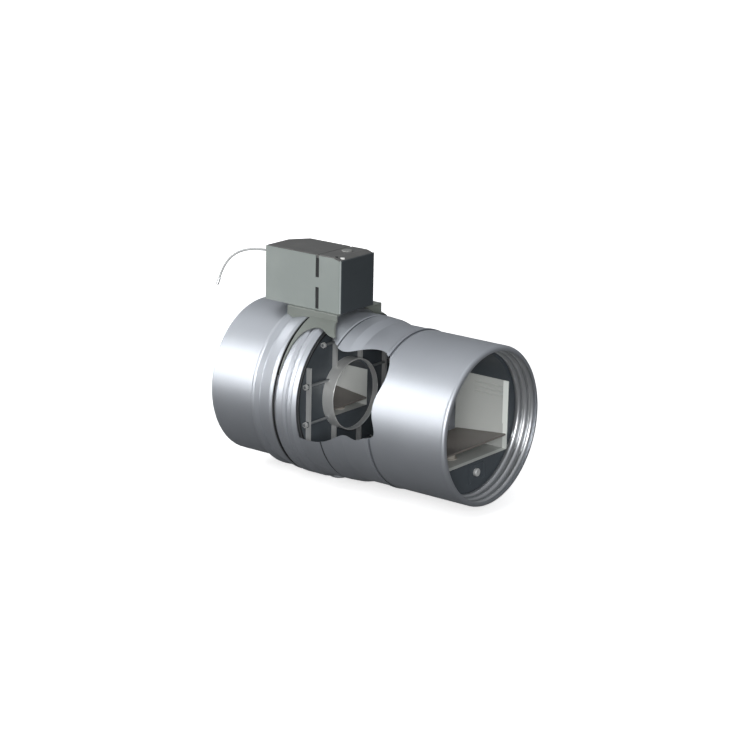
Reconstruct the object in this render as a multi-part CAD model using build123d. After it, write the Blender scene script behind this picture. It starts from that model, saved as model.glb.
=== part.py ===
from build123d import *
from math import asin, degrees, hypot, pi, radians, sqrt, tan
import os

# A motorized two-rate damper for round duct, cut open at the front to show its blade.
# X runs along the duct from the inlet mouth, -Y is the cut-open front, Z is up. Millimetres.

# Casing sheet. The crest stands over the spigot, the other rings lie below the crest
spigot_d = 198.8
sheet = 1.0
casing_l = 362.0
crest_h = 8.4
crest_dip = 2.4
flare_drop = 0.9
seam_lip_drop = 3.3
waist_drop = 3.6
front_bead_drop = 2.4
front_valley_drop = 5.4
mid_end_h = 0.2
mid_end_flare = 0.9
crease_depth = 1.6
lap_gap = 0.2
rim_bend = 5.0
rim_h = 6.2

# Stations of the casing along the duct
front_bead_x0 = 66.0
front_bead_x1 = 75.0
front_valley_x = 81.0
flare_x = 100.0
throat_x = 104.6
gasket_t = 0.95
seat_gap = 0.05
crest_x0 = 111.4
crest_x1 = 136.0
waist_x0 = 141.0
crease_x = 174.5
taper_x0 = 193.0
taper_x1 = 207.0
overlap_x = 236.0
mid_end_x = 249.0

# Blade throat: a flanged ring held in the seam between the two front shells
throat_r = spigot_d / 2 - 3.8
throat_sheet = 1.0
throat_lip_x = 138.0

# Blade disc, its seal and its lattice
disc_front_x = 135.4
disc_t = 1.5
seal_gap = 0.6
seal_over_disc = 2.0
seal_grip = 2.0
seal_bottom_gap = 0.4
seal_lip = 0.7
seal_r = throat_r - seal_gap
disc_r = seal_r - seal_over_disc
bar_w = 3.0
bar_depth = 6.0
rod_lift = 3.5
bar_reach_r = disc_r - 2.4
bar_rows = (25.3, disc_r - 17.0)
rod_d = 3.4
rod_rows = (24.2, disc_r - 22.0)
nut_ring_r = disc_r - 6.8
nut_af = 6.5
nut_t = 3.0
lug_t = 2.0

# Shaft line of the blade, upright under the right block of the actuator
shaft_d = 10.0
shaft_seal_gap = 0.1
press_gap = 0.02
shaft_inner_z = 52.0
bush_wall = 2.0
running_gap = 0.05
fit_gap = 0.2

# Small regulator in the blade: a round collar with a rectangular channel in it
ring_r = 45.7
ring_wall = 1.5
ring_front_x = 152.0
small_half_w = 34.5
small_floor_z = -23.0
small_arch_r = 41.6
small_back_x = 84.0
small_plate_x = 143.2
small_hinge_x = 94.4
small_hinge_z = -7.2
small_lip_z = -13.0

# Large regulator in the outlet, with its stations measured back from the outlet mouth
large_half_w = 78.0
large_floor_z = -53.0
large_arch_r = 85.1
large_mouth_inset = 32.0
large_channel_l = 79.6
large_hinge_inset = 4.9
large_plate_x = casing_l - large_mouth_inset
large_back_x = large_plate_x - large_channel_l
large_hinge_x = large_back_x + large_hinge_inset
large_hinge_z = -40.0
large_lip_z = -33.0
large_bulb_x = large_plate_x - 30.0

# Both regulators: channel sheet, front plate, flap and its pin
channel_wall = 1.0
plate_t = 1.5
flap_t = 1.2
flap_side_gap = 0.4
pin_d = 3.0
eye_wall = 1.2
flap_lip = 2.2
bulb_r = 7.0
bulb_gap = 0.3

# Outlet collar with three rounded ridges
collar_crest_r = 88.5
collar_step = 2.2
collar_ridge_depth = 2.6
collar_ridges = 3

# Actuator bridge, a bent sheet bracket over the beads
bridge_t = 1.4
bridge_x0 = 73.0
bridge_x1 = 152.0
bridge_front_y = -40.0
bridge_rear_y = 49.5
bridge_clear = 0.2
bridge_cut_x = 146.0
bridge_cut_half_w = 33.0
foot_tip_x = 168.5
foot_tip_z = 88.5

# Actuator housing, cover and end cap
act_x0 = 31.0
act_x1 = 151.7
act_half_w = 34.1
act_h = 69.6
act_wall = 2.4
act_edge_r = 2.2
act_front_r = 4.0
act_bevel_l = 11.5
act_bevel_h = 3.3
act_cut_l = 18.0
act_cut_w = 24.0
cover_t = 4.2
cover_proud = 1.0
cover_inset = 1.4
end_cap_t = 1.8
split_x = 115.2
split_w = 5.4
split_depth = 2.0
split_bridge_h0 = 28.6
split_bridge_h1 = 41.2
strip_recess = 0.7
screw_xs = (86.0, 138.0)
screw_half_pitch = 22.0
screw_hole_r = 2.2

# Gear train: output gear on the shaft, one compound gear, motor pinion
gear_module = 1.0
output_teeth = 30
compound_pinion_teeth = 10
compound_gear_teeth = 36
motor_pinion_teeth = 12
gear_backlash = 0.3
gear_face = 8.0
gear_lift = 6.6
stage_lift = 13.0
axle_d = 4.0
motor_r = 14.5
motor_shaft_d = 3.0

# Release button in the cover
button_x = 129.4
button_y = 6.5
button_r = 6.6
button_travel = 3.0
button_proud = 1.6

# Lead from the actuator's left end, with its grommet and crimped ferrule
cord_d = 3.0
cord_lift = 53.0
grommet_d = 7.0
grommet_l = 5.0
ferrule_d = 4.2
ferrule_l = 9.0

spigot_r = spigot_d / 2
crest_r = spigot_r + crest_h
flare_r = crest_r - flare_drop
waist_r = crest_r - waist_drop
bridge_low_z = crest_r + bridge_clear
bridge_z = bridge_low_z + bridge_t
act_z1 = bridge_z + act_h
gear_z = bridge_z + gear_lift
second_stage_z = gear_z + stage_lift
disc_back_x = disc_front_x - disc_t
shaft_r = shaft_d / 2
shaft_x = disc_back_x - seal_lip - shaft_seal_gap - shaft_r
bush_r = shaft_r + bush_wall
os.makedirs("parts", exist_ok=True)
parts = {}


def across(shape, x):
    """Move a shape drawn in the plane across the duct, with its own z along +X, to station x."""
    return Pos(x, 0, 0) * (Plane.YZ * shape)


def turned(stations):
    """Turn a closed outline of (x, radius) points about the duct axis."""
    return revolve(Plane.XZ * make_face(Polyline(*stations, close=True)), Axis.X, 360)


def turned_sheet(stations, thickness):
    """Turn a sheet section about the duct axis from its outer line of (x, radius, bend) points."""
    corners = [(x, r) for x, r, bend in stations]
    bends = [bend for x, r, bend in stations[1:-1]]
    line = FilletPolyline(*corners, radius=bends)
    section = make_face(offset(line, amount=thickness, side=Side.RIGHT))
    return revolve(Plane.XZ * section, Axis.X, 360)


def upright(radius, z0, z1, x=shaft_x, y=0.0):
    """A round bar standing along Z between two heights."""
    return Pos(x, y, (z0 + z1) / 2) * Cylinder(radius, z1 - z0)


def tube_along_x(outer_r, inner_r, x0, x1):
    """A round tube about the duct axis."""
    return across(extrude(Circle(outer_r) - Circle(inner_r), x1 - x0), x0)


def block(x0, x1, y0, y1, z0, z1):
    """A rectangular block between its six faces."""
    return Pos((x0 + x1) / 2, (y0 + y1) / 2, (z0 + z1) / 2) * Box(x1 - x0, y1 - y0, z1 - z0)


def under_sheet(stations, clearance):
    """The solid inside a line of (x, radius) points about the duct, grown by a clearance."""
    path = [(x, r + clearance) for x, r in stations]
    return turned([(path[0][0], 0), *path, (path[-1][0], 0)])


# Break-out window in the front of the casing: its left edge is straight, the rest is torn
outside_r = 130.0
window_left_x = 141.0
window_low = (window_left_x, -36.0)
window_high = (window_left_x, 90.5)
window_torn = [(163, 85.5), (184, 76.5), (206, 79.5), (231, 83), (251, 78), (260, 60), (254.5, 36), (254.5, 10),
               (257, -10), (240, -17.5), (226, -22), (214, -19), (201, -23), (187, -30.5), (160, -37.5)]
window_front_y = -20.0
window_face = make_face([Line(window_low, window_high), Spline(window_high, *window_torn, window_low)])
window_cut = Pos(0, window_front_y, 0) * extrude(Plane.XZ * window_face, outside_r + window_front_y)

# Shaft holes through the throat ring and the bead above and below it
bush_hole_z0 = throat_r - 8
bush_hole = upright(bush_r + running_gap, bush_hole_z0, outside_r)
bush_hole += upright(bush_r + running_gap, -outside_r, -bush_hole_z0)

# Inlet shell: straight spigot, one front bead, then a flare up to the seam
front_bead_r = crest_r - front_bead_drop
front_valley_r = crest_r - front_valley_drop
inlet_line = [(0, spigot_r, 0), (front_bead_x0, spigot_r, 1.5), (front_bead_x0 + 4.5, front_bead_r, 2),
              (front_bead_x1, front_bead_r, 2.2), (front_valley_x, front_valley_r, 2.5), (flare_x, flare_r, 2),
              (throat_x, flare_r, 0)]
parts["inlet_shell"] = turned_sheet(inlet_line, sheet)

# Beaded shell: seam lip, double bead, waist with a crease, and a taper down to the outlet spigot
beads_x0 = throat_x + throat_sheet
shell_x0 = beads_x0 + gasket_t + 2 * seat_gap
seam_lip_r = crest_r - seam_lip_drop
dip_r = crest_r - crest_dip
crease_half_w = 2.3
crease_r = waist_r - crease_depth
mid_end_r = spigot_r + mid_end_h
flare_l = 3.0
bead_line = [(shell_x0, seam_lip_r, 0), (shell_x0 + 0.9, seam_lip_r, 1.2), (crest_x0, crest_r, 3),
             (crest_x1 - 14, crest_r, 3), (crest_x1 - 10, dip_r, 2.2), (crest_x1 - 6.5, crest_r, 2.2),
             (crest_x1, crest_r, 2.6), (waist_x0, waist_r, 2), (crease_x - crease_half_w, waist_r, 2),
             (crease_x, crease_r, 0.6), (crease_x + crease_half_w, waist_r, 2), (taper_x0, waist_r - 1.0, 5),
             (taper_x1, mid_end_r, 5), (mid_end_x - 2 * flare_l, mid_end_r, 2),
             (mid_end_x - flare_l, mid_end_r + mid_end_flare, 2), (mid_end_x, mid_end_r + mid_end_flare, 0)]
slot_x1 = 111.0
slot_start, slot_turn = 17.0, 52.0
slot_inner_r, slot_outer_r = throat_r + 1.4, crest_r + 4
slot_face = make_face(Polyline((beads_x0, slot_inner_r), (slot_x1, slot_inner_r), (slot_x1, slot_outer_r),
                               (beads_x0, slot_outer_r), close=True))
slot_cut = Rot(slot_start, 0, 0) * revolve(Plane.XZ * slot_face, Axis.X, slot_turn)
parts["beaded_shell"] = turned_sheet(bead_line, sheet) - window_cut - slot_cut - bush_hole

# Outlet shell: its lap is set in under the beaded shell, its mouth is rolled in
lap_r = mid_end_r - sheet - lap_gap
joggle_x0, joggle_x1 = mid_end_x + 0.5, mid_end_x + 3.5
outlet_line = [(overlap_x, lap_r, 0), (joggle_x0, lap_r, 1.6), (joggle_x1, spigot_r, 1.6),
               (casing_l, spigot_r, rim_bend), (casing_l, spigot_r - rim_h, 0)]
parts["outlet_shell"] = turned_sheet(outlet_line, sheet) - window_cut

# The form that the pieces on top of the casing are cut to: the dip between the beads is bridged
casing_hull = [(0, spigot_r), (front_bead_x0, spigot_r), (front_bead_x0 + 4.5, front_bead_r),
               (front_bead_x1, front_bead_r), (front_valley_x, front_valley_r + seat_gap), (flare_x, flare_r),
               (shell_x0, flare_r), (crest_x0, crest_r), (crest_x1 + 0.4, crest_r), (waist_x0 + 0.5, waist_r),
               (crease_x, waist_r)]
casing_form = under_sheet(casing_hull, bridge_clear)

# Throat ring: a flange held in the seam, and the lip on which the closed blade seals
throat = turned([(throat_x, throat_r), (throat_lip_x, throat_r), (throat_lip_x, throat_r + throat_sheet),
                 (beads_x0, throat_r + throat_sheet), (beads_x0, flare_r), (throat_x, flare_r)])
parts["throat_ring"] = throat - bush_hole

# Seam gasket: a flat rubber ring between the flange and the beaded shell, seen black in the slot
parts["seam_gasket"] = tube_along_x(flare_r - 0.7, throat_r + throat_sheet + 0.4, beads_x0 + seat_gap,
                                    shell_x0 - seat_gap)

# Shaft bushes: each sits in the throat ring and the bead, with its flange on the ring
bush_flange_r = bush_r + 3
bush_flange_t = 1.6
bush_seat_r = throat_r + throat_sheet + running_gap
bush_top_z = bridge_low_z - 0.1
bush = upright(bush_r, throat_r + 0.1, bush_top_z)
bush += upright(bush_flange_r, bush_seat_r, bush_seat_r + bush_flange_t)
bush -= upright(shaft_r + running_gap, throat_r - 1, bush_top_z + 1)
parts["upper_bush"] = bush
parts["lower_bush"] = mirror(bush, Plane.XY)

# Lower shaft cap: a shallow cup over the lower end of the shaft, seated on the bead
cap_r = 13.0
cap_h = 4.2
cap_wall = 1.6
cap_inside = 2.4
cap = upright(cap_r, -crest_r - cap_h, -crest_r + cap_inside)
cap = fillet(cap.faces().sort_by(Axis.Z)[0].edges(), 2.2)
cap_hollow = upright(bush_r + 0.6, -crest_r - cap_h + cap_wall, -crest_r + cap_inside)
parts["lower_shaft_cap"] = cap - cap_hollow - casing_form


def passage(half_w, floor_z, arch_r, grown):
    """The outline of a regulator's passage, grown: flat floor, straight sides and an arched top."""
    half = half_w + grown
    low = Pos(0, (floor_z - grown) / 2) * Rectangle(2 * half, grown - floor_z)
    high = Circle(arch_r + grown) & Pos(0, arch_r) * Rectangle(2 * half, 2 * arch_r)
    return low + high


def channel(half_w, floor_z, arch_r, x0, x1):
    """The sheet round a passage along the duct: its floor and sides, and the hood over them."""
    wall_top_z = sqrt(arch_r ** 2 - half_w ** 2)
    reach = 2 * arch_r
    section = passage(half_w, floor_z, arch_r, channel_wall) - passage(half_w, floor_z, arch_r, 0)
    trough = section & Pos(0, wall_top_z - arch_r) * Rectangle(2 * reach, reach)
    hood = section & Pos(0, wall_top_z + seat_gap + arch_r) * Rectangle(2 * reach, reach)
    return across(extrude(trough, x1 - x0), x0), across(extrude(hood, x1 - x0), x0)


def front_plate(radius, half_w, floor_z, arch_r, x0):
    """A round plate across the duct with the mouth of the passage in it."""
    return across(extrude(Circle(radius) - passage(half_w, floor_z, arch_r, 0), plate_t), x0)


# Blade disc with the opening for the small channel
disc_opening = passage(small_half_w, small_floor_z, small_arch_r, channel_wall + fit_gap)
parts["blade_disc"] = across(extrude(Circle(disc_r) - disc_opening, disc_t), disc_back_x)

# Blade seal: a rubber channel round the rim of the disc
groove_x0, groove_x1 = disc_back_x - seat_gap, disc_front_x + seat_gap
groove_r0, groove_r1 = disc_r - seal_grip - seal_bottom_gap, disc_r + seat_gap
seal_groove = tube_along_x(groove_r1, groove_r0, groove_x0, groove_x1)
seal_body = tube_along_x(seal_r, disc_r - seal_grip, disc_back_x - seal_lip, disc_front_x + seal_lip)
parts["blade_seal"] = seal_body - seal_groove

# Lattice: four upright bars and four cross rods through them, stopped short of the collar
ring_clear = tube_along_x(ring_r + fit_gap, 0.01, disc_front_x - 5, ring_front_x + 5)
rod_x = disc_front_x + rod_lift
rod_r = rod_d / 2


def lattice_rows(rows):
    """Both sides of the middle for each row distance."""
    return [side * row for row in rows for side in (-1, 1)]


bars = Part()
for y in lattice_rows(bar_rows):
    half_h = sqrt(bar_reach_r ** 2 - (abs(y) + bar_w / 2) ** 2)
    bars += block(disc_front_x, disc_front_x + bar_depth, y - bar_w / 2, y + bar_w / 2, -half_h, half_h)
bars -= ring_clear

rods = Part()
rod_holes = Part()
nuts = Part()
lugs = Part()
for z in lattice_rows(rod_rows):
    nut_y = sqrt(nut_ring_r ** 2 - z ** 2)
    rod_line = Pos(rod_x, 0, z) * Rot(90, 0, 0)
    rods += rod_line * Cylinder(rod_r, 2 * (nut_y + nut_t / 2 + 1))
    rod_holes += rod_line * Cylinder(rod_r + running_gap, 2 * disc_r)
    for side in (-1, 1):
        nut = extrude(RegularPolygon(nut_af / 2, 6, major_radius=False, rotation=30), nut_t / 2, both=True)
        nuts += Pos(rod_x, side * nut_y, z) * Rot(90, 0, 0) * nut
        lug_y = side * (nut_y - nut_t / 2 - lug_t / 2)
        lugs += Pos(disc_front_x + bar_depth / 2, lug_y, z) * Box(bar_depth, lug_t, nut_af)
rods -= ring_clear
parts["upright_bars"] = bars - rod_holes
parts["cross_rods"] = rods
parts["rod_nuts"] = nuts - rod_holes
parts["rod_lugs"] = lugs - rod_holes

# Small regulator: collar, channel, front plate
collar_tube = tube_along_x(ring_r, ring_r - ring_wall, disc_front_x, ring_front_x)
collar_rim = collar_tube.faces().sort_by(Axis.X)[-1].edges()
parts["small_collar"] = fillet(collar_rim, ring_wall * 0.45)


def pin_line(x, z, radius, half_l):
    """A round bar along Y."""
    return Pos(x, 0, z) * Rot(90, 0, 0) * Cylinder(radius, 2 * half_l)


pin_r = pin_d / 2
pin_hole_r = pin_r + running_gap
eye_r = pin_hole_r + eye_wall


def flap(hinge_x, hinge_z, lip_x, lip_z, half_w):
    """A regulator flap: a plate from its rolled hinge eye to its free lip, which is turned down."""
    length = hypot(lip_x - hinge_x, lip_z - hinge_z)
    slope = degrees(asin((hinge_z - lip_z) / length))
    plate = block(0, length, -half_w, half_w, eye_r - flap_t, eye_r)
    lip = block(length - flap_t, length, -half_w, half_w, eye_r - flap_lip, eye_r)
    blank = plate + lip + pin_line(0, 0, eye_r, half_w) - pin_line(0, 0, pin_hole_r, half_w + 1)
    return Pos(hinge_x, 0, hinge_z - eye_r) * Rot(0, slope, 0) * blank


def damping_bulb(x, floor_z, hinge_x, hinge_z, lip_x, lip_z):
    """A rubber bulb on the channel floor, as high as the underside of the flap that rests on it."""
    slope = (lip_z - hinge_z) / (lip_x - hinge_x)
    low_x = x - bulb_r if slope > 0 else x + bulb_r
    underside_z = hinge_z + slope * (low_x - hinge_x) - flap_t * hypot(1, slope)
    height = underside_z - bulb_gap - floor_z
    bulb = Pos(x, 0, floor_z + height / 2) * Cylinder(bulb_r, height)
    bulb = fillet(bulb.faces().sort_by(Axis.Z)[-1].edges(), min(2.5, height * 0.4))
    return bulb + Pos(x, 0, floor_z + 0.6) * Cylinder(bulb_r + 2, 1.2)


small_lip_x = small_plate_x - 0.4
small_pin_axis = (small_hinge_x, small_hinge_z - eye_r)
small_channel, small_hood = channel(small_half_w, small_floor_z, small_arch_r, small_back_x, small_plate_x)
parts["small_channel"] = small_channel - pin_line(*small_pin_axis, pin_r, small_half_w + 5)
parts["small_hood"] = small_hood
parts["small_front_plate"] = front_plate(ring_r - ring_wall - fit_gap / 2, small_half_w, small_floor_z,
                                         small_arch_r, small_plate_x)
parts["small_flap_pin"] = pin_line(*small_pin_axis, pin_r, small_half_w + channel_wall + 0.8)
small_flap_half_w = small_half_w - flap_side_gap
parts["small_flap"] = flap(small_hinge_x, small_hinge_z, small_lip_x, small_lip_z, small_flap_half_w)
small_bulb_x = 124.0
parts["small_flap_bulb"] = damping_bulb(small_bulb_x, small_floor_z, small_hinge_x, small_hinge_z,
                                        small_lip_x, small_lip_z)

# Shaft stubs: clear of the small channel, with the drive above and the pivot below
shaft_top_z = second_stage_z - 3.0
parts["upper_shaft"] = upright(shaft_r, shaft_inner_z, shaft_top_z)
parts["lower_shaft"] = upright(shaft_r, -crest_r - 1.8, -shaft_inner_z)

# Shaft clips: omega strips that hold the stubs to the back of the disc
clip_t = 1.6
clip_flange = 9.0
clip_l = 26.0
clip_z0 = shaft_inner_z + 3
clip_r = shaft_r + running_gap + clip_t
clip_base_x = disc_back_x - shaft_x
clip_bore_r = shaft_r + running_gap
clip_outer = Circle(clip_r) + Pos(clip_r / 2, 0) * Rectangle(clip_r, 2 * clip_r)
clip_outer += Pos(clip_base_x - clip_t / 2, 0) * Rectangle(clip_t, 2 * (clip_r + clip_flange))
clip_inner = Circle(clip_bore_r) + Pos(clip_r / 2, 0) * Rectangle(clip_r, 2 * clip_bore_r)
clip_limit = Pos(clip_base_x - clip_r, 0) * Rectangle(2 * clip_r, 4 * clip_r)
clip = Pos(shaft_x, 0, clip_z0) * extrude((clip_outer - clip_inner) & clip_limit, clip_l)
parts["upper_shaft_clip"] = clip
parts["lower_shaft_clip"] = mirror(clip, Plane.XY)

# Large regulator in the outlet shell, with three ribs and an edge wedge inside each side wall
large_channel, large_hood = channel(large_half_w, large_floor_z, large_arch_r, large_back_x, large_plate_x)
parts["large_hood"] = large_hood
large_wall_top_z = sqrt(large_arch_r ** 2 - large_half_w ** 2)
rib_l = 42.0
rib_r = 1.4
rib_end_gap = 8.0
rib_rows = (13.0, 19.0, 25.0)
strip_over_lip = 12.0
edge_strip_w = 7.0
edge_strip_t = 1.8
edge_strip_x = large_plate_x - edge_strip_w
strip_z0, strip_z1 = large_lip_z + strip_over_lip, large_wall_top_z
for side in (-1, 1):
    wall_y = side * large_half_w
    for rib_z in rib_rows:
        rib_x = large_plate_x - rib_end_gap - rib_l / 2
        large_channel += Pos(rib_x, wall_y, rib_z) * Rot(0, 90, 0) * Cylinder(rib_r, rib_l)
    wedge = make_face(Polyline((edge_strip_x, wall_y), (edge_strip_x, wall_y - side * edge_strip_t),
                               (large_plate_x, wall_y), close=True))
    strip_half_h = (strip_z1 - strip_z0) / 2
    large_channel += Pos(0, 0, strip_z0 + strip_half_h) * extrude(wedge, strip_half_h, both=True)
wall_outside = large_half_w + channel_wall
for side in (-1, 1):
    y0, y1 = sorted((side * wall_outside, side * (wall_outside + 2 * rib_r)))
    large_channel -= block(large_back_x, large_plate_x, y0, y1, large_floor_z, large_wall_top_z)
large_lip_x = large_plate_x - 0.6
large_pin_axis = (large_hinge_x, large_hinge_z - eye_r)
large_flap_half_w = large_half_w - edge_strip_t - fit_gap
parts["large_channel"] = large_channel - pin_line(*large_pin_axis, pin_r, large_half_w + 5)
spindle_y, spindle_z = 10.0, -66.0
spindle_r = 2.0


def on_spindle(radius, x0, x1):
    """A round bar on the rate spindle's axis."""
    return Pos((x0 + x1) / 2, spindle_y, spindle_z) * Rot(0, 90, 0) * Cylinder(radius, x1 - x0)


inner_r = spigot_r - sheet - lap_gap
plate_face_x = large_plate_x + plate_t
large_plate = front_plate(inner_r, large_half_w, large_floor_z, large_arch_r, large_plate_x)
spindle_hole = on_spindle(spindle_r + running_gap, large_plate_x - 1, plate_face_x + 1)
parts["large_front_plate"] = large_plate - spindle_hole
parts["large_flap_pin"] = pin_line(*large_pin_axis, pin_r, large_half_w + channel_wall + 0.8)
parts["large_flap"] = flap(large_hinge_x, large_hinge_z, large_lip_x, large_lip_z, large_flap_half_w)
parts["large_flap_bulb"] = damping_bulb(large_bulb_x, large_floor_z, large_hinge_x, large_hinge_z,
                                        large_lip_x, large_lip_z)

# Rate adjuster under the outlet mouth: a slotted knob on a spindle, beside an upright rib
knob_r = 5.0
knob_gap = 0.3
knob_t = 4.4
knob_slot_w = 1.2
knob_slot_depth = 1.5
spindle_tail = 8.5
knob_x1 = plate_face_x + knob_gap + knob_t
knob = chamfer(on_spindle(knob_r, knob_x1 - knob_t, knob_x1).faces().sort_by(Axis.X)[-1].edges(), 0.8)
knob += on_spindle(spindle_r, large_plate_x - spindle_tail, knob_x1 - 1)
slot_y0, slot_y1 = spindle_y - knob_slot_w / 2, spindle_y + knob_slot_w / 2
knob -= block(knob_x1 - knob_slot_depth, knob_x1 + 1, slot_y0, slot_y1, spindle_z - knob_r,
              spindle_z + knob_r)
parts["rate_knob"] = knob
scale_t = 1.2
scale_top_z = spindle_z + 10
scale_y1 = spindle_y + 18
rib_step_y = scale_y1 - 4
scale = block(plate_face_x, plate_face_x + scale_t, spindle_y - 12, scale_y1, spindle_z - 13, scale_top_z)
scale -= on_spindle(knob_r + 0.5, plate_face_x - 1, plate_face_x + scale_t + 1)
scale += block(plate_face_x, plate_face_x + 4, rib_step_y, rib_step_y + 1.4, spindle_z - 10, scale_top_z)
parts["rate_scale"] = scale

# Outlet collar: a moulded ring with three rounded ridges, stepping out to the mouth
collar_x0 = plate_face_x
collar_x1 = casing_l - rim_bend - 0.7
ridge_pitch = (collar_x1 - collar_x0) / collar_ridges
ridge_lap = 0.4
collar_path = []
for i in range(collar_ridges):
    x0 = collar_x0 + i * ridge_pitch
    valley_r = collar_crest_r + i * collar_step + collar_ridge_depth
    crest = (x0 + ridge_pitch * 0.5, valley_r - collar_ridge_depth)
    start = (x0, valley_r - ridge_lap if i else valley_r)
    last = i == collar_ridges - 1
    end = (x0 + ridge_pitch, valley_r if last else valley_r + collar_step - ridge_lap)
    collar_path.append(ThreePointArc(start, crest, end))
collar_start = collar_path[0] @ 0
collar_end = collar_path[-1] @ 1
collar_path.append(Polyline(collar_end, (collar_x1, inner_r), (collar_x0, inner_r), collar_start))
parts["outlet_collar"] = revolve(Plane.XZ * make_face(collar_path), Axis.X, 360)

# Actuator bridge: top plate, two legs and a front foot that reaches down beside the slot
leg_under_crest = 28.0
leg_low_z = crest_r - leg_under_crest
foot_r = bridge_low_z
foot_x0 = slot_x1 + 0.2
foot_top_z = sqrt(foot_r ** 2 - bridge_front_y ** 2)
plate = block(bridge_x0, bridge_x1, bridge_front_y, bridge_rear_y, bridge_low_z, bridge_z)
leg_outline = [(bridge_x0, leg_low_z), (waist_x0, leg_low_z), (waist_x0, foot_top_z), (bridge_x1, foot_top_z),
               (bridge_x1, bridge_z), (bridge_x0, bridge_z)]
leg_face = make_face(Polyline(*leg_outline, close=True))
front_leg = Pos(0, bridge_front_y + bridge_t, 0) * extrude(Plane.XZ * leg_face, bridge_t)
rear_leg = block(bridge_x0, bridge_x1, bridge_rear_y - bridge_t, bridge_rear_y, leg_low_z, bridge_z)
bridge = plate + front_leg + rear_leg
bridge = fillet(bridge.edges().filter_by(Axis.X).group_by(Axis.Z)[-1], bridge_t * 0.9)
bridge -= block(bridge_cut_x, bridge_x1 + 1, -bridge_cut_half_w, bridge_cut_half_w, bridge_low_z - 1,
                bridge_z + 1)
foot_sheet = tube_along_x(foot_r + bridge_t, foot_r, foot_x0, foot_tip_x)
foot_low, foot_tip = (foot_x0, 40), (foot_tip_x, foot_tip_z)
foot_curve = Spline(foot_low, (foot_x0 + 2.2, 62), (122, 89), (138, 94), (150, 91.5), foot_tip)
foot_rim = Polyline(foot_tip, (bridge_x1, foot_top_z), (bridge_x1, bridge_z), (foot_x0, bridge_z), foot_low)
front_side = block(0, casing_l, -outside_r, bridge_front_y + bridge_t / 2, 0, outside_r)
front_foot = foot_sheet & front_side & extrude(Plane.XZ * make_face([foot_curve, foot_rim]), outside_r)
rear_side = block(foot_x0, bridge_x1, bridge_rear_y - bridge_t / 2, bridge_rear_y + 12, leg_low_z, bridge_z)
rear_foot = foot_sheet & rear_side
bridge_screws_xy = [(x, side * screw_half_pitch) for x in screw_xs for side in (-1, 1)]
bridge = bridge + front_foot + rear_foot - casing_form
bridge -= upright(bush_r + 0.4, bridge_low_z - 1, bridge_z + 1)
for x, y in bridge_screws_xy:
    bridge -= upright(screw_hole_r, bridge_low_z - 1, bridge_z + 1, x, y)
parts["actuator_bridge"] = bridge


def act_plan(inset):
    """The actuator's outline seen from above, inset, with its rear left corner cut off."""
    outline = Polyline((act_x0, -act_half_w), (act_x1, -act_half_w), (act_x1, act_half_w),
                       (act_x0 + act_cut_l, act_half_w), (act_x0, act_half_w - act_cut_w), close=True)
    face = make_face(outline)
    if inset:
        face = offset(face, amount=-inset, kind=Kind.INTERSECTION)
    return face


def act_form(inset, z0, z1):
    """The actuator's outer form, inset, between two heights, with its right end bevelled from z1 down."""
    plan = act_plan(inset)
    front_right = plan.vertices().sort_by(lambda v: v.X - v.Y)[-1]
    plan = fillet(front_right, act_front_r)
    corners = plan.vertices().sort_by(lambda v: v.X - v.Y)[:-2]
    plan = fillet(corners, act_edge_r)
    bevel_x0 = act_x1 - act_bevel_l
    wedge = make_face(Polyline((bevel_x0, z1), (act_x1, z1 - act_bevel_h), (act_x1, z1 + 1),
                               (bevel_x0, z1 + 1), close=True))
    return extrude(Pos(0, 0, z0) * plan, z1 - z0) - extrude(Plane.XZ * wedge, act_half_w + 1, both=True)


# Actuator housing: a moulded box open at the top, with an upright groove in its front and rear wall
housing_z1 = act_z1 - cover_proud
cavity_z0 = bridge_z + act_wall
cavity_z1 = housing_z1 + 1
cover_seat_z = act_z1 - cover_t
cap_x0 = act_x1 - end_cap_t
inner_end_x = cap_x0 - act_wall
end_cut = block(cap_x0 - fit_gap, act_x1 + 1, -outside_r, outside_r, 0, act_z1 + 1)
housing = act_form(0, bridge_z, housing_z1) - end_cut
cavity = extrude(Pos(0, 0, cavity_z0) * act_plan(act_wall), cavity_z1 - cavity_z0)
housing -= cavity & block(0, inner_end_x, -act_half_w, act_half_w, cavity_z0, cavity_z1)
housing -= extrude(Pos(0, 0, cover_seat_z) * act_plan(cover_inset), cavity_z1 - cover_seat_z)
groove_spans = [(bridge_z + 1.2, bridge_z + split_bridge_h0), (bridge_z + split_bridge_h1, cavity_z1)]
split_x0, split_x1 = split_x - split_w / 2, split_x + split_w / 2
groove_y = act_half_w - split_depth
strips = Part()
for side in (-1, 1):
    y0, y1 = sorted((side * groove_y, side * (act_half_w + 1)))
    strip_y0, strip_y1 = sorted((side * (groove_y + seat_gap), side * (act_half_w - strip_recess)))
    for z0, z1 in groove_spans:
        strip_z1 = min(z1, cover_seat_z) - seat_gap
        housing -= block(split_x0, split_x1, y0, y1, z0, z1)
        strips += block(split_x0 + seat_gap, split_x1 - seat_gap, strip_y0, strip_y1, z0 + seat_gap, strip_z1)
parts["split_strips"] = strips
boss_r = 4.2
axle_boss_r = 5.0
screw_pilot_r = 1.7
for x, y in bridge_screws_xy:
    housing += upright(boss_r, bridge_z, cavity_z0 + 6, x, y)
    housing -= upright(screw_pilot_r, bridge_z - 1, cavity_z0 + 5, x, y)
housing -= upright(bush_r + 0.4, bridge_z - 1, cavity_z0 + 1)
compound_x = shaft_x - gear_module * (output_teeth + compound_pinion_teeth) / 2
motor_x = compound_x - gear_module * (compound_gear_teeth + motor_pinion_teeth) / 2
housing += upright(axle_boss_r, bridge_z + 0.5, gear_z - 0.6, compound_x)
housing -= upright(axle_d / 2 + running_gap, bridge_z + 1, gear_z, compound_x)
grommet_r = grommet_d / 2
neck_r = grommet_r - 1
cord_z = bridge_z + cord_lift


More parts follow.
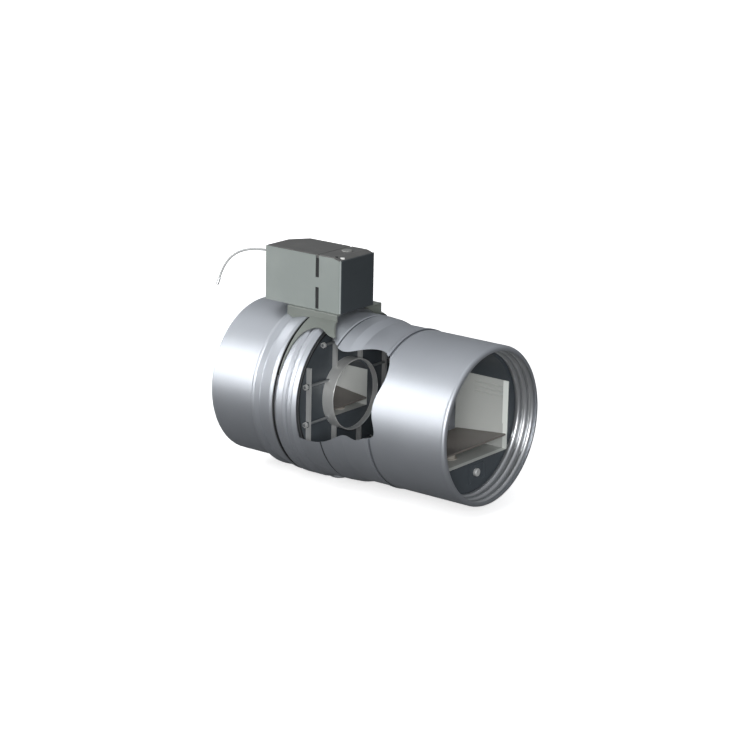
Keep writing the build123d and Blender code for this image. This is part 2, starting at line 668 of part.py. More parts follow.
def on_lead(radius, x0, x1):
    """A round bar on the axis on which the lead leaves the housing."""
    return Pos((x0 + x1) / 2, 0, cord_z) * Rot(0, 90, 0) * Cylinder(radius, x1 - x0)


parts["actuator_housing"] = housing - on_lead(neck_r + running_gap, act_x0 - 1, act_x0 + act_wall + 1)

# End cap: the dark right end of the actuator, cut from the same outer form
end_form = act_form(0, bridge_z, act_z1)
parts["end_cap"] = end_form & block(cap_x0, act_x1 + 1, -outside_r, outside_r, 0, act_z1 + 1)

# Cover with the release button's guide tube under it and a notch over the housing's rear groove
cover = act_form(cover_inset + fit_gap, cover_seat_z, act_z1) - end_cut
cover = fillet(cover.faces().sort_by(Axis.Z)[-1].edges().filter_by(Axis.Y, reverse=True), 0.8)
line_depth, notch_depth, notch_l = 0.6, 1.6, 5.0
line_x0, line_x1 = split_x - line_depth, split_x + line_depth
cover -= block(line_x0, line_x1, -act_half_w, act_half_w, act_z1 - line_depth, act_z1 + 1)
cover -= block(split_x0, split_x1, act_half_w - notch_l, act_half_w, act_z1 - notch_depth, act_z1 + 1)
guide_r = button_r + fit_gap
guide_wall = 1.4
guide_floor = 1.6
guide_z0 = act_z1 - 20
stem_r = 2.6
cover += upright(guide_r + guide_wall, guide_z0, cover_seat_z + 0.5, button_x, button_y)
cover -= upright(guide_r, guide_z0 + guide_floor, act_z1 + 1, button_x, button_y)
cover -= upright(stem_r + running_gap * 2, guide_z0 - 1, guide_z0 + 2, button_x, button_y)
light_x, light_y, light_r, light_proud = 145.8, -23.0, 2.8, 0.7
plug_x, plug_y, plug_r, plug_proud = 140.0, -27.4, 1.8, 0.4
cover -= upright(light_r + running_gap, cover_seat_z - 1, act_z1 + 1, light_x, light_y)
cover -= upright(plug_r + running_gap, cover_seat_z - 1, act_z1 + 1, plug_x, plug_y)
parts["actuator_cover"] = cover

# Release button with its spring and the clip that keeps it in the guide
button_top_z = act_z1 + button_proud
head_z0 = button_top_z - button_travel - button_proud - 1.5
button = upright(button_r, head_z0, button_top_z, button_x, button_y)
button = fillet(button.faces().sort_by(Axis.Z)[-1].edges(), 0.7)
clip_z = guide_z0 - bulb_gap
button += upright(stem_r, clip_z - 3, head_z0, button_x, button_y)
parts["release_button"] = button
parts["button_clip"] = (upright(stem_r + 1.8, clip_z - 1.2, clip_z, button_x, button_y)
                        - upright(stem_r + press_gap, clip_z - 5, clip_z + 5, button_x, button_y))
spring_r = stem_r + 1.6
wire_r = 0.45
spring_end_gap = wire_r + seat_gap
spring_z0 = guide_z0 + guide_floor + spring_end_gap
spring_h = head_z0 - spring_end_gap - spring_z0
spring_turns = 4
coil = Helix(spring_h / spring_turns, spring_h, spring_r)
wire_plane = Plane(origin=coil @ 0, z_dir=coil % 0)
spring = sweep(wire_plane * RegularPolygon(wire_r, 6), path=coil)
parts["button_spring"] = Pos(button_x, button_y, spring_z0) * spring

# Status light and service plug in the bevel at the front right corner of the cover
light_z = act_z1 - act_bevel_h * (light_x - act_x1 + act_bevel_l) / act_bevel_l
parts["status_light"] = upright(light_r, cover_seat_z, light_z + light_proud, light_x, light_y)
parts["service_plug"] = upright(plug_r, cover_seat_z, act_z1 + plug_proud, plug_x, plug_y)


def gear(teeth, face, z0, x, turn, bore_r):
    """A spur gear with straight-flanked teeth thinned for backlash; a tooth points along +X at turn 0."""
    pitch_r = gear_module * teeth / 2
    tip_r = pitch_r + gear_module * 0.85
    root_r = pitch_r - gear_module * 1.15
    tooth_half = pi * gear_module / 4 - gear_backlash / 2
    flank = tan(radians(20))
    root_half = tooth_half + flank * gear_module * 1.15
    tip_half = tooth_half - flank * gear_module * 0.85
    tooth = make_face(Polyline((root_r - 0.4, -root_half), (tip_r, -tip_half), (tip_r, tip_half),
                               (root_r - 0.4, root_half), close=True))
    blank = Circle(root_r)
    for i in range(teeth):
        blank += Rot(0, 0, 360 * i / teeth) * tooth
    return Pos(x, 0, z0) * Rot(0, 0, turn) * extrude(blank - Circle(bore_r), face)


# Gear train in the housing: gaps of each gear face the teeth of its partner along X
output_turn = 180 / output_teeth if output_teeth % 2 == 0 else 0
output = gear(output_teeth, gear_face, gear_z, shaft_x, output_turn, shaft_r + press_gap)
parts["output_gear"] = output
hub_clip_r = shaft_r + 2.4
clip_low_z = gear_z + gear_face + 0.1
gear_clip = upright(hub_clip_r, clip_low_z, clip_low_z + 1)
parts["output_gear_clip"] = gear_clip - upright(shaft_r + press_gap, clip_low_z - 1, clip_low_z + 2)
pinion_len = second_stage_z - gear_z
compound_bore = axle_d / 2 + running_gap
compound = gear(compound_pinion_teeth, pinion_len, gear_z, compound_x, 0, compound_bore)
compound_gear_face = 4.0
compound_turn = 180 / compound_gear_teeth
compound += gear(compound_gear_teeth, compound_gear_face, second_stage_z, compound_x, compound_turn,
                 compound_bore)
parts["compound_gear"] = compound
motor_pinion_z0 = second_stage_z - 1
motor_pinion_l = compound_gear_face + 2
motor_shaft_r = motor_shaft_d / 2
motor_pinion_z1 = motor_pinion_z0 + motor_pinion_l
parts["motor_pinion"] = gear(motor_pinion_teeth, motor_pinion_l, motor_pinion_z0, motor_x, 0,
                             motor_shaft_r + press_gap)
parts["motor_shaft"] = upright(motor_shaft_r, motor_pinion_z0 - 3, motor_pinion_z1 + 1, motor_x)
axle_top = second_stage_z + compound_gear_face + 2
parts["gear_axle"] = upright(axle_d / 2, bridge_z + 1, axle_top, compound_x)

# Motor: a round can on the housing floor with a bore for its turning shaft
motor_top_z = motor_pinion_z0 - 1.2
motor = upright(motor_r, cavity_z0 + 0.1, motor_top_z, motor_x)
motor -= upright(motor_shaft_r + running_gap, motor_pinion_z0 - 4, motor_top_z + 1, motor_x)
parts["motor"] = motor

# Circuit board on two posts over the motor
board_z = bridge_z + 38.6
board_t = 1.6
board_x1 = 92.0
board_top_z = board_z + board_t
board = extrude(Pos(0, 0, board_z) * act_plan(act_wall + 1), board_t)
board &= block(act_x0, board_x1, -act_half_w, act_half_w, board_z, board_top_z)
board_blocks = [(44, 60, -10, 8, 7.4), (66, 80, 6, 20, 10.4)]
for x0, x1, y0, y1, height in board_blocks:
    board += block(x0, x1, y0, y1, board_top_z, board_top_z + height)
parts["circuit_board"] = board
post_x, post_y, post_r = 56.0, 24.0, 2.6
posts = Part()
for side in (-1, 1):
    posts += upright(post_r, cavity_z0 + seat_gap, board_z - seat_gap, post_x, side * post_y)
parts["board_posts"] = posts

# Screws from below through the bridge into the housing
screw_r, screw_head_r, screw_head_h = 1.6, 3.4, 1.95
screws = Part()
for x, y in bridge_screws_xy:
    screws += upright(screw_r, bridge_low_z - 1, cavity_z0 + 4, x, y)
    screws += upright(screw_head_r, bridge_low_z - seat_gap - screw_head_h, bridge_low_z - seat_gap, x, y)
parts["bridge_screws"] = screws

# Lead: grommet in the housing wall, cord and crimped ferrule
grommet_x1 = act_x0 - press_gap
grommet = on_lead(grommet_r, grommet_x1 - grommet_l, grommet_x1)
grommet = fillet(grommet.faces().sort_by(Axis.X)[0].edges(), 1.0)
parts["lead_grommet"] = grommet + on_lead(neck_r, act_x0 - 1, act_x0 + act_wall)
cord_x0 = grommet_x1 - grommet_l - 0.08
cord_steps = [(0.0, 0.0, 0.0), (16.5, 0.5, 0.0), (32.6, 2.3, 0.4), (47.0, 5.7, 2.3), (59.0, 10.3, 6.5),
              (68.2, 15.2, 13.9), (73.3, 20.6, 23.6), (75.9, 24.4, 33.2), (77.0, 27.4, 41.0)]
points = [Vector(cord_x0 - back, -front, cord_z - down) for back, front, down in cord_steps]
runs = [(b - a).length for a, b in zip(points, points[1:])]
radii = []
for i in range(1, len(points) - 1):
    turn = radians((points[i] - points[i - 1]).get_angle(points[i + 1] - points[i]))
    radii.append(0.45 * min(runs[i - 1], runs[i]) / tan(turn / 2))
print("cord radii", [round(r, 1) for r in radii], "runs", [round(r, 1) for r in runs])
cord_path = FilletPolyline(*points, radius=radii)
cord = sweep(Plane(origin=cord_path @ 0, z_dir=cord_path % 0) * Circle(cord_d / 2), path=cord_path)
cord_core = cord_path.length * pi * cord_d ** 2 / 4
print("cord length", round(cord_path.length, 1), "volume ratio", round(cord.volume / cord_core, 4))
parts["cord"] = cord
ferrule_plane = Plane(origin=cord_path @ 1, z_dir=cord_path % 1)
ferrule = extrude(ferrule_plane * Circle(ferrule_d / 2), ferrule_l)
parts["cord_ferrule"] = chamfer(ferrule.faces().sort_by(Axis.Z)[0].edges(), 0.6)

for name, shape in parts.items():
    export_step(shape, f"parts/{name}.step")
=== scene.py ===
import math

import bmesh
import bpy
from mathutils import Matrix, Vector


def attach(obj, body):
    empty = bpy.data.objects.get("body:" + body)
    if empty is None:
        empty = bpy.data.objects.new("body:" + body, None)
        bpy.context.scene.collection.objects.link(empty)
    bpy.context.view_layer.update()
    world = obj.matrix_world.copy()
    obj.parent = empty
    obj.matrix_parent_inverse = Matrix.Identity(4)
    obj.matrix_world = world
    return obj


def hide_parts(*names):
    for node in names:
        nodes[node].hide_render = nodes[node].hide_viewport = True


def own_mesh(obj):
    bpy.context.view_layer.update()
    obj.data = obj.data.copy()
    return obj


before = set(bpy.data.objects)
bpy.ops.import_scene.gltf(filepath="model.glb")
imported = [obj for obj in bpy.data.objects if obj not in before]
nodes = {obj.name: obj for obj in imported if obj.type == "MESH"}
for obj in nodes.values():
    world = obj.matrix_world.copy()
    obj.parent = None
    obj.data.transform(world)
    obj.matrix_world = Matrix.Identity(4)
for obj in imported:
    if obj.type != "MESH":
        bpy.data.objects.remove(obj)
scene = bpy.context.scene
scene.view_settings.view_transform = "Standard"
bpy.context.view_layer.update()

# The camera stands to the right and a little above, looking at the middle of the duct, with a long
# lens as for a catalogue picture.
CAMERA_AZIMUTH = math.radians(37.57)
CAMERA_ELEVATION = math.radians(15.87)
CAMERA_ROLL = math.radians(1.15)
CAMERA_DISTANCE = 3.2266
CAMERA_TARGET = Vector((0.10506, 0.10005, -0.00525))
SENSOR_MM = 36.0
FOCAL_WIDTHS = 2492.2 / 750

to_camera = Vector((math.cos(CAMERA_ELEVATION) * math.sin(CAMERA_AZIMUTH),
                    -math.cos(CAMERA_ELEVATION) * math.cos(CAMERA_AZIMUTH),
                    math.sin(CAMERA_ELEVATION)))
lens = bpy.data.cameras.new("camera")
lens.sensor_width = SENSOR_MM
lens.lens = SENSOR_MM * FOCAL_WIDTHS
lens.clip_end = 20.0
camera = bpy.data.objects.new("camera", lens)
scene.collection.objects.link(camera)
turn = to_camera.to_track_quat("Z", "Y").to_matrix() @ Matrix.Rotation(CAMERA_ROLL, 3, "Z")
camera.matrix_world = Matrix.Translation(CAMERA_TARGET + to_camera * CAMERA_DISTANCE) @ turn.to_4x4()
scene.camera = camera


class Value:
    """One socket of a shader, so that sums on it are written as sums."""

    def __init__(self, finish, socket):
        self.finish = finish
        self.socket = socket

    def sum(self, operation, *others):
        node = self.finish.node("ShaderNodeMath", {"operation": operation}, dict(enumerate((self, *others))))
        return Value(self.finish, node.outputs[0])

    def __add__(self, other):
        return self.sum("ADD", other)

    def __radd__(self, other):
        return self + other

    def __sub__(self, other):
        return self.sum("SUBTRACT", other)

    def __rsub__(self, other):
        return self * -1.0 + other

    def __mul__(self, other):
        return self.sum("MULTIPLY", other)

    def __rmul__(self, other):
        return self * other

    def __pow__(self, other):
        return self.sum("POWER", other)

    def over(self, edge, softness):
        """0 below the edge and 1 above it, with a soft step between."""
        return self.finish.ramp(self, edge - softness / 2, edge + softness / 2)


class Finish:
    """A material for one finish, with a principled surface, built node by node."""

    def __init__(self, name):
        self.material = bpy.data.materials.new(name)
        self.material.use_nodes = True
        self.tree = self.material.node_tree
        self.tree.nodes.clear()
        self.surface = self.node("ShaderNodeBsdfPrincipled")
        self.node("ShaderNodeOutputMaterial", {}, {"Surface": self.surface.outputs["BSDF"]})
        place = self.node("ShaderNodeTexCoord").outputs["Object"]
        self.place = place
        axes = self.node("ShaderNodeSeparateXYZ", {}, {0: place})
        self.x, self.y, self.z = (Value(self, socket) for socket in axes.outputs)

    def node(self, kind, settings=None, sockets=None):
        """A node of that kind, with its settings first and then the values or links of its sockets."""
        made = self.tree.nodes.new(kind)
        for name, value in (settings or {}).items():
            setattr(made, name, value)
        for name, value in (sockets or {}).items():
            if isinstance(value, Value):
                value = value.socket
            if isinstance(value, bpy.types.NodeSocket):
                self.tree.links.new(value, made.inputs[name])
            else:
                made.inputs[name].default_value = value
        return made

    def ramp(self, value, low, high):
        """0 where the value is at most low and 1 where it is at least high."""
        node = self.node("ShaderNodeMapRange", {"interpolation_type": "SMOOTHSTEP"},
                         {"Value": value, "From Min": low, "From Max": high})
        return Value(self, node.outputs["Result"])

    def stretched(self, x, y, z):
        """The piece's own coordinates in metres, multiplied along each axis."""
        return self.node("ShaderNodeMapping", {}, {"Vector": self.place, "Scale": (x, y, z)}).outputs[0]

    def noise(self, scale, detail=3.0, roughness=0.5, where=None):
        """Cloudy noise from about 0 to 1."""
        node = self.node("ShaderNodeTexNoise", {}, {"Vector": where or self.place, "Scale": scale,
                                                    "Detail": detail, "Roughness": roughness})
        return Value(self, node.outputs[0])

    def cells(self, scale):
        """Distance to the nearest of many scattered points."""
        node = self.node("ShaderNodeTexVoronoi", {"feature": "F1"}, {"Vector": self.place, "Scale": scale})
        return Value(self, node.outputs[0])

    def mixed(self, share, first, second):
        """A colour between two colours."""
        node = self.node("ShaderNodeMix", {"data_type": "RGBA"}, {0: share, 6: first, 7: second})
        return node.outputs[2]

    def bumped(self, height, distance, strength=1.0):
        """Raise or lower the surface by a height of 0 to 1 times a distance in metres."""
        node = self.node("ShaderNodeBump", {}, {"Height": height, "Distance": distance, "Strength": strength})
        self.set(Normal=node.outputs[0])

    def set(self, **sockets):
        """Values or links for the surface's sockets, with _ for a blank in a socket's name."""
        for name, value in sockets.items():
            if isinstance(value, Value):
                value = value.socket
            socket = self.surface.inputs[name.replace("_", " ")]
            if isinstance(value, bpy.types.NodeSocket):
                self.tree.links.new(value, socket)
            else:
                socket.default_value = value

    def dress(self, *names):
        """Give CAD nodes this finish."""
        for name in names:
            mesh = nodes[name].data
            mesh.materials.clear()
            mesh.materials.append(self.material)


def paint(red, green, blue):
    """A screen colour from 0 to 255 as the linear colour that a shader takes."""
    def linear(level):
        level /= 255
        return level / 12.92 if level < 0.04045 else ((level + 0.055) / 1.055) ** 2.4
    return (linear(red), linear(green), linear(blue), 1.0)


# The lead: a round flexible sheath in light grey, straight out of its grommet and then down and to
# the front in one bend, with a crimped metal ferrule on its end.
LEAD_D = 0.003
LEAD_START = Vector((0.0259, 0.0, 0.1624))
lead_steps = [(0.0, 0.0, 0.0), (16.5, 0.5, 0.0), (32.6, 2.3, 0.4), (47.0, 5.7, 2.3), (59.0, 10.3, 6.5),
              (68.2, 15.2, 13.9), (73.3, 20.6, 23.6), (75.9, 24.4, 33.2), (77.0, 27.4, 41.0)]

sheath = Finish("lead_sheath")
grime = sheath.noise(90.0, 4.0)
sheath.set(Base_Color=sheath.mixed(grime, paint(160, 162, 162), paint(184, 186, 186)),
           Roughness=0.42 + 0.12 * grime, Coat_Weight=0.08)
sheath.bumped(sheath.noise(1400.0, 2.0), 0.00004)

lead_curve = bpy.data.curves.new("lead", "CURVE")
lead_curve.dimensions = "3D"
lead_curve.bevel_depth = LEAD_D / 2
lead_curve.bevel_resolution = 6
lead_curve.resolution_u = 10
spline = lead_curve.splines.new("NURBS")
spline.points.add(len(lead_steps) - 1)
for point, step in zip(spline.points, lead_steps):
    place = LEAD_START - Vector(step) / 1000
    point.co = (*place, 1.0)
spline.order_u = 3
spline.use_endpoint_u = True
lead = bpy.data.objects.new("lead", lead_curve)
scene.collection.objects.link(lead)
lead_curve.materials.append(sheath.material)
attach(lead, "casing")
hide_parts("cord")

crimp = Finish("ferrule_tin")
ring_lines = crimp.noise(1.0, 2.0, where=crimp.stretched(900.0, 900.0, 900.0))
crimp.set(Base_Color=crimp.mixed(ring_lines, paint(168, 170, 172), paint(205, 206, 207)), Metallic=1.0,
          Roughness=0.28 + 0.15 * ring_lines)
crimp.bumped(ring_lines, 0.00005)
crimp.dress("cord_ferrule")

# Rubber: the lead's grommet, the service plug, the lip round the blade, the seam's gasket and the
# strips in the housing's grooves. Moulded black, with a matt skin that has picked up a little dust.
rubber = Finish("black_rubber")
dust = rubber.noise(60.0, 5.0).over(0.58, 0.3)
rubber.set(Base_Color=rubber.mixed(dust, paint(20, 21, 23), paint(40, 41, 42)), Roughness=0.62 + 0.18 * dust)
rubber.bumped(rubber.noise(1800.0, 2.0), 0.00005)
rubber.dress("lead_grommet", "service_plug", "blade_seal", "seam_gasket", "split_strips")

# Casing: zinc-coated steel strip, rolled round the duct. It has fine rolling lines that run round it,
# pale zinc flowers and a few wiped marks. The crease round the waist is painted dark as shade.


def rolled_steel(name, dark, light, roughness):
    """Zinc-coated sheet with lines that run round the duct axis."""
    steel = Finish(name)
    lines = steel.noise(1.0, 4.0, 0.6, where=steel.stretched(900.0, 5.0, 5.0))
    flowers = steel.cells(160.0)
    wiped = steel.noise(9.0, 4.0, 0.55)
    shade = lines * 0.5 + flowers * 0.12 + wiped * 0.38
    steel.set(Base_Color=steel.mixed(shade.over(0.45, 0.7), dark, light), Metallic=0.85,
              Roughness=roughness + 0.06 * wiped + 0.05 * lines)
    steel.bumped(lines, 0.00001, 0.5)
    return steel


ZINC_DARK, ZINC_LIGHT = paint(172, 176, 182), paint(190, 194, 200)
CREASE_LEFT_X, CREASE_RIGHT_X = 0.1734, 0.1751
CREASE_SHADE_SOFTNESS = 0.0008
shell_steel = rolled_steel("casing_steel", ZINC_DARK, ZINC_LIGHT, 0.42)
shell_shade = shell_steel.mixed(shell_steel.noise(9.0, 4.0), ZINC_DARK, ZINC_LIGHT)
# Painted shade: a dark band in the crease round the waist, where shade falls.
crease_shade = shell_steel.x.over(CREASE_LEFT_X, CREASE_SHADE_SOFTNESS) * (1.0 - shell_steel.x.over(CREASE_RIGHT_X, CREASE_SHADE_SOFTNESS))
shell_steel.set(Base_Color=shell_steel.mixed(crease_shade, shell_shade, paint(84, 88, 92)))
shell_steel.dress("inlet_shell", "beaded_shell", "outlet_shell", "lower_shaft_cap")
inner_steel = rolled_steel("throat_steel", paint(132, 135, 138), paint(160, 163, 166), 0.38)
inner_steel.dress("throat_ring")

# Outlet collar: a ring pressed in three round ridges, with fine turned lines and dull patches where
# the lubricant of the press has dried.
ridges = Finish("pressed_ring")
turned_lines = ridges.noise(1.0, 3.0, 0.5, where=ridges.stretched(1600.0, 6.0, 6.0))
dried = ridges.noise(24.0, 4.0)
ridge_shade = turned_lines * 0.6 + dried * 0.4
ridges.set(Base_Color=ridges.mixed(ridge_shade, paint(158, 161, 164), paint(198, 200, 202)),
           Metallic=0.8, Roughness=0.26 + 0.12 * dried)
ridges.bumped(turned_lines, 0.00002, 0.6)
ridges.dress("outlet_collar")

# Painted sheet: the actuator's bridge in grey-green, the channels of both regulators in light grey,
# their flaps in brown-grey and the blade in charcoal. A sprayed satin coat with a faint orange peel. The
# large channel has a painted highlight along its front edge.


def sprayed_sheet(name, colour, faded, roughness, *names):
    """Sprayed sheet metal, a little faded in patches."""
    coat = Finish(name)
    patches = coat.noise(16.0, 5.0, 0.55)
    grain = coat.noise(900.0, 2.0)
    coat.set(Base_Color=coat.mixed(patches.over(0.5, 0.5), colour, faded),
             Roughness=roughness + 0.10 * patches + 0.05 * grain, Coat_Weight=0.05)
    coat.bumped(grain, 0.00003, 0.7)
    coat.dress(*names)
    return coat


sprayed_sheet("bridge_paint", paint(108, 113, 108), paint(118, 123, 118), 0.42, "actuator_bridge")
# Painted light: the small channel is painted lighter than the large one, for the light its recess lacks.
sprayed_sheet("small_channel_painted_light", paint(186, 189, 186), paint(200, 202, 199), 0.40, "small_channel")
EDGE_HIGHLIGHT_X = 0.3232
LARGE_GREY, LARGE_FADED = paint(158, 161, 158), paint(170, 172, 169)
large_paint = sprayed_sheet("channel_paint", LARGE_GREY, LARGE_FADED, 0.40, "large_channel")
large_shade = large_paint.mixed(large_paint.noise(14.0, 3.0), LARGE_GREY, LARGE_FADED)
# Painted highlight: a light band along the large channel's front edge.
large_edge_highlight = large_paint.x.over(EDGE_HIGHLIGHT_X, 0.0006)
large_paint.set(Base_Color=large_paint.mixed(large_edge_highlight, large_shade, paint(206, 210, 206)))
sprayed_sheet("flap_paint", paint(96, 91, 87), paint(108, 103, 99), 0.38, "small_flap", "large_flap")
sprayed_sheet("blade_paint", paint(56, 62, 67), paint(68, 74, 79), 0.44, "blade_disc", "rod_lugs",
              "small_hood", "small_front_plate", "large_hood", "large_front_plate", "rate_scale")

# Lattice: zinc-plated flat bars and round rods bolted across the blade, drawn lengthways.
lattice = Finish("zinc_plate")
haze = lattice.noise(45.0, 4.0)
draw_lines = lattice.noise(1.0, 3.0, where=lattice.stretched(500.0, 500.0, 14.0))
zinc_shade = haze * 0.6 + draw_lines * 0.4
lattice.set(Base_Color=lattice.mixed(zinc_shade, paint(168, 170, 170), paint(206, 207, 206)),
            Metallic=0.35, Roughness=0.32 + 0.16 * haze)
lattice.bumped(draw_lines, 0.00002, 0.5)
lattice.dress("upright_bars", "upper_shaft_clip", "lower_shaft_clip", "bridge_screws", "rate_knob")

rods = Finish("drawn_rod")
rod_lines = rods.noise(1.0, 3.0, where=rods.stretched(500.0, 14.0, 500.0))
rods.set(Base_Color=rods.mixed(rod_lines, paint(112, 115, 118), paint(150, 153, 155)), Metallic=0.45,
         Roughness=0.28 + 0.14 * rod_lines)
rods.bumped(rod_lines, 0.00002, 0.5)
rods.dress("cross_rods", "small_flap_pin", "large_flap_pin")

shafts = Finish("ground_shaft")
shaft_lines = shafts.noise(1.0, 3.0, where=shafts.stretched(60.0, 60.0, 1500.0))
shafts.set(Base_Color=shafts.mixed(shaft_lines, paint(140, 142, 145), paint(178, 180, 182)), Metallic=1.0,
           Roughness=0.2 + 0.12 * shaft_lines)
shafts.bumped(shaft_lines, 0.00001, 0.5)
shafts.dress("upper_shaft", "lower_shaft", "gear_axle", "motor_shaft")

# Collar of the small regulator and the rods' nuts: bright turned steel, with the tool's fine rings
# round the duct's axis.
turned_steel = Finish("turned_steel")
tool_rings = turned_steel.noise(1.0, 3.0, where=turned_steel.stretched(1800.0, 7.0, 7.0))
smear = turned_steel.noise(30.0, 3.0)
turned_steel.set(Base_Color=turned_steel.mixed(smear, paint(206, 207, 206), paint(228, 229, 227)),
                 Metallic=0.5, Roughness=0.24 + 0.12 * tool_rings + 0.08 * smear)
turned_steel.bumped(tool_rings, 0.00002, 0.6)
turned_steel.dress("small_collar", "rod_nuts")

# Actuator: housing, cover and end panel are moulded plastic with a spark-eroded grain, the housing
# in grey-green and the other two darker as painted shade on the top and the end face. The end panel's
# front edge has a painted highlight.


def moulded(name, colour, rubbed, roughness, *names):
    """Moulded plastic with a fine grain and slightly rubbed patches."""
    plastic = Finish(name)
    grain = plastic.noise(1500.0, 3.0, 0.6)
    rubbed_patches = plastic.noise(20.0, 4.0).over(0.56, 0.4)
    plastic.set(Base_Color=plastic.mixed(rubbed_patches * 0.6 + grain * 0.25, colour, rubbed),
                Roughness=roughness - 0.08 * rubbed_patches + 0.08 * grain)
    plastic.bumped(grain, 0.00006, 0.6)
    plastic.dress(*names)
    return plastic


moulded("housing_plastic", paint(132, 139, 136), paint(144, 150, 147), 0.48, "actuator_housing")
# Painted shade: the cover is darker than the housing, to stand in for the shade on its top.
moulded("cover_plastic", paint(84, 84, 83), paint(96, 96, 94), 0.50, "actuator_cover")
# Painted shade: the end panel is dark, to stand in for the shade on the end face.
END_PAINTED_SHADE, END_RUBBED = paint(46, 52, 55), paint(58, 63, 66)
EDGE_HIGHLIGHT_W = 0.0014
end_cap = nodes["end_cap"]
end_front_y = min((end_cap.matrix_world @ Vector(corner)).y for corner in end_cap.bound_box)
end_plastic = moulded("end_plastic", END_PAINTED_SHADE, END_RUBBED, 0.48, "end_cap")
end_shade = end_plastic.mixed(end_plastic.noise(20.0, 4.0), END_PAINTED_SHADE, END_RUBBED)
# Painted highlight: a light band along the end panel's front edge.
end_edge_highlight = 1.0 - end_plastic.y.over(end_front_y + EDGE_HIGHLIGHT_W, EDGE_HIGHLIGHT_W)
end_plastic.set(Base_Color=end_plastic.mixed(end_edge_highlight, end_shade, paint(158, 165, 163)))
moulded("button_plastic", paint(120, 121, 119), paint(138, 139, 136), 0.34, "release_button")
moulded("nylon", paint(206, 203, 190), paint(220, 217, 206), 0.40, "upper_bush", "lower_bush", "board_posts",
        "output_gear", "compound_gear")
moulded("silicone", paint(150, 146, 138), paint(168, 164, 156), 0.52, "small_flap_bulb", "large_flap_bulb")

# Status light: a white diffusing lens, unlit.
lens_finish = Finish("light_lens")
milk = lens_finish.noise(400.0, 2.0)
lens_finish.set(Base_Color=lens_finish.mixed(milk, paint(232, 233, 230), paint(246, 246, 243)),
                Roughness=0.22, Coat_Weight=0.3)
lens_finish.dress("status_light")

# Drive inside the housing: brass pinion, plated motor can, spring wire and the lacquered board.
brass = Finish("cut_brass")
cut_marks = brass.noise(1.0, 3.0, where=brass.stretched(300.0, 300.0, 1800.0))
brass.set(Base_Color=brass.mixed(cut_marks, paint(186, 150, 84), paint(212, 180, 112)), Metallic=1.0,
          Roughness=0.26 + 0.14 * cut_marks)
brass.bumped(cut_marks, 0.00001, 0.5)
brass.dress("motor_pinion")

spring_wire = Finish("spring_wire")
wire_shade = spring_wire.noise(700.0, 3.0)
spring_wire.set(Base_Color=spring_wire.mixed(wire_shade, paint(112, 114, 118), paint(158, 160, 163)),
                Metallic=1.0, Roughness=0.3 + 0.12 * wire_shade)
spring_wire.dress("button_spring", "button_clip", "output_gear_clip")

# The button's spring stands on its seat, as its own copy fixed to the casing.
still_spring = nodes["button_spring"]
coil = bpy.data.objects.new("coil_spring", still_spring.data.copy())
coil.matrix_world = still_spring.matrix_world.copy()
scene.collection.objects.link(coil)
corners = [still_spring.matrix_world @ Vector(corner) for corner in still_spring.bound_box]
coil_x, coil_y = (sum(corner[axis] for corner in corners) / len(corners) for axis in (0, 1))
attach(coil, "casing")
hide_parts("button_spring")
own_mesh(coil)

can = Finish("motor_can")
can_lines = can.noise(1.0, 3.0, where=can.stretched(40.0, 40.0, 900.0))
can.set(Base_Color=can.mixed(can_lines, paint(128, 130, 132), paint(166, 168, 169)), Metallic=0.9,
        Roughness=0.34 + 0.1 * can_lines)
can.bumped(can_lines, 0.00002, 0.5)
can.dress("motor")

board = Finish("board_lacquer")
BOARD_TOP = 0.1496
component = board.z.over(BOARD_TOP + 0.0003, 0.0002)
tracks = board.cells(260.0).over(0.45, 0.1)
lacquer = board.mixed(tracks, paint(28, 82, 48), paint(52, 116, 74))
board.set(Base_Color=board.mixed(component, lacquer, paint(38, 39, 41)), Roughness=0.32 + 0.2 * component,
          Coat_Weight=0.2)
board.bumped(tracks, 0.00003)
board.dress("circuit_board")

# Studio: a white backdrop and a white floor that keeps the object's shadow, a tall narrow lamp at the
# front left for the long highlight on the duct, a broad one at the front right, a weak one above and
# one from the inlet's side for the back.
MIDDLE_X = 0.18
FLOOR_Z = -0.1128
FLOOR_R = 9.0
SHOWN_IN_METAL = 0.06
ROOM_LOW, ROOM_HIGH = 0.02, 0.42


def lamp(name, azimuth, elevation, distance, width, height, watts):
    """A soft lamp with an upright oblong face, seen from the object's middle at angles in degrees."""
    azimuth, elevation = math.radians(azimuth), math.radians(elevation)
    light = bpy.data.lights.new(name, "AREA")
    light.shape = "RECTANGLE"
    light.size = width
    light.size_y = height
    light.energy = watts
    piece = bpy.data.objects.new(name, light)
    scene.collection.objects.link(piece)
    away = Vector((math.cos(elevation) * math.sin(azimuth), -math.cos(elevation) * math.cos(azimuth),
                   math.sin(elevation)))
    middle = Vector((MIDDLE_X, 0.0, 0.0))
    facing = away.to_track_quat("Z", "Y").to_matrix().to_4x4()
    piece.matrix_world = Matrix.Translation(middle + away * distance) @ facing


lamp("key_lamp", -38.5, 20.0, 2.2, 0.34, 1.7, 28.0)
lamp("right_fill", 41.0, 15.0, 2.4, 0.8, 0.8, 42.0)
lamp("top_fill", 20.0, 78.0, 2.4, 1.6, 1.6, 7.0)
lamp("rear_fill", 262.0, 28.0, 2.6, 1.2, 1.2, 14.0)


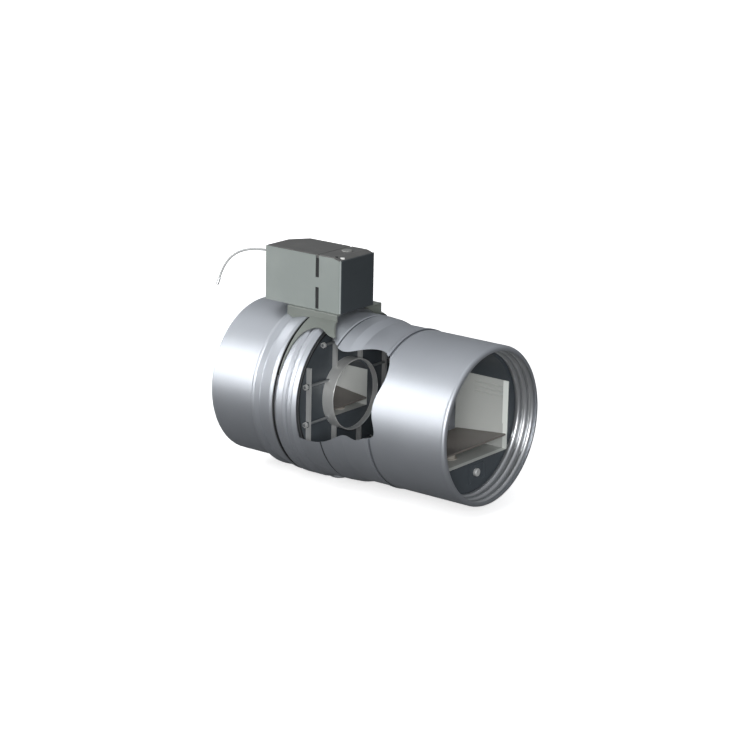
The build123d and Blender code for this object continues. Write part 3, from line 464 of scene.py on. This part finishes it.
def shown_white(tree):
    """1 where the camera looks at the backdrop straight or through glass, and less by way of metal."""
    rays = tree.nodes.new("ShaderNodeLightPath")
    in_metal = tree.nodes.new("ShaderNodeMath")
    in_metal.operation = "MULTIPLY"
    in_metal.inputs[1].default_value = SHOWN_IN_METAL
    tree.links.new(rays.outputs["Is Glossy Ray"], in_metal.inputs[0])
    straight = tree.nodes.new("ShaderNodeMath")
    straight.operation = "MAXIMUM"
    tree.links.new(rays.outputs["Is Camera Ray"], straight.inputs[0])
    tree.links.new(rays.outputs["Is Transmission Ray"], straight.inputs[1])
    seen = tree.nodes.new("ShaderNodeMath")
    seen.operation = "MAXIMUM"
    tree.links.new(straight.outputs[0], seen.inputs[0])
    tree.links.new(in_metal.outputs[0], seen.inputs[1])
    return seen.outputs[0]


world = bpy.data.worlds.new("studio")
world.use_nodes = True
scene.world = world
sky = world.node_tree
sky.nodes.clear()
sky_out = sky.nodes.new("ShaderNodeOutputWorld")
room = sky.nodes.new("ShaderNodeBackground")
backdrop = sky.nodes.new("ShaderNodeBackground")
either = sky.nodes.new("ShaderNodeMixShader")
direction = sky.nodes.new("ShaderNodeTexCoord")
heights = sky.nodes.new("ShaderNodeSeparateXYZ")
room_level = sky.nodes.new("ShaderNodeMapRange")
sky.links.new(direction.outputs["Generated"], heights.inputs[0])
sky.links.new(heights.outputs["Z"], room_level.inputs["Value"])
room_level.inputs["From Min"].default_value = -0.1
room_level.inputs["From Max"].default_value = 0.8
room_level.inputs["To Min"].default_value = ROOM_LOW
room_level.inputs["To Max"].default_value = ROOM_HIGH
room.inputs["Color"].default_value = (0.93, 0.96, 1.0, 1.0)
backdrop.inputs["Color"].default_value = (1.0, 1.0, 1.0, 1.0)
backdrop.inputs["Strength"].default_value = 1.0
sky.links.new(room_level.outputs["Result"], room.inputs["Strength"])
sky.links.new(shown_white(sky), either.inputs[0])
sky.links.new(room.outputs[0], either.inputs[1])
sky.links.new(backdrop.outputs[0], either.inputs[2])
sky.links.new(either.outputs[0], sky_out.inputs["Surface"])

floor_form = bmesh.new()
bmesh.ops.create_circle(floor_form, cap_ends=True, cap_tris=False, segments=64, radius=FLOOR_R,
                        matrix=Matrix.Translation((MIDDLE_X, 0.0, FLOOR_Z)))
floor_mesh = bpy.data.meshes.new("floor")
floor_form.to_mesh(floor_mesh)
floor_form.free()
floor = bpy.data.objects.new("floor", floor_mesh)
scene.collection.objects.link(floor)
pale = Finish("pale_floor")
pale.set(Base_Color=pale.mixed(pale.noise(3.0), (0.80, 0.80, 0.80, 1.0), (0.82, 0.82, 0.82, 1.0)),
         Roughness=0.9, Specular_IOR_Level=0.1)
along = pale.x - MIDDLE_X
far = ((along * along + pale.y * pale.y) ** 0.5).over(0.9, 1.0)
glow_shade = pale.mixed(far, (0.62, 0.62, 0.62, 1.0), (0.95, 0.95, 0.95, 1.0))
glow = pale.node("ShaderNodeEmission", {}, {"Color": glow_shade, "Strength": 1.0})
lit_paper = pale.node("ShaderNodeAddShader", {}, {0: pale.surface.outputs["BSDF"], 1: glow.outputs[0]})
dull = pale.node("ShaderNodeBsdfDiffuse", {}, {"Color": (0.035, 0.037, 0.040, 1.0)})
paper = pale.node("ShaderNodeMixShader", {}, {0: shown_white(pale.tree), 1: dull.outputs[0],
                                              2: lit_paper.outputs[0]})
pale.node("ShaderNodeOutputMaterial", {"is_active_output": True}, {"Surface": paper.outputs[0]})
floor_mesh.materials.append(pale.material)
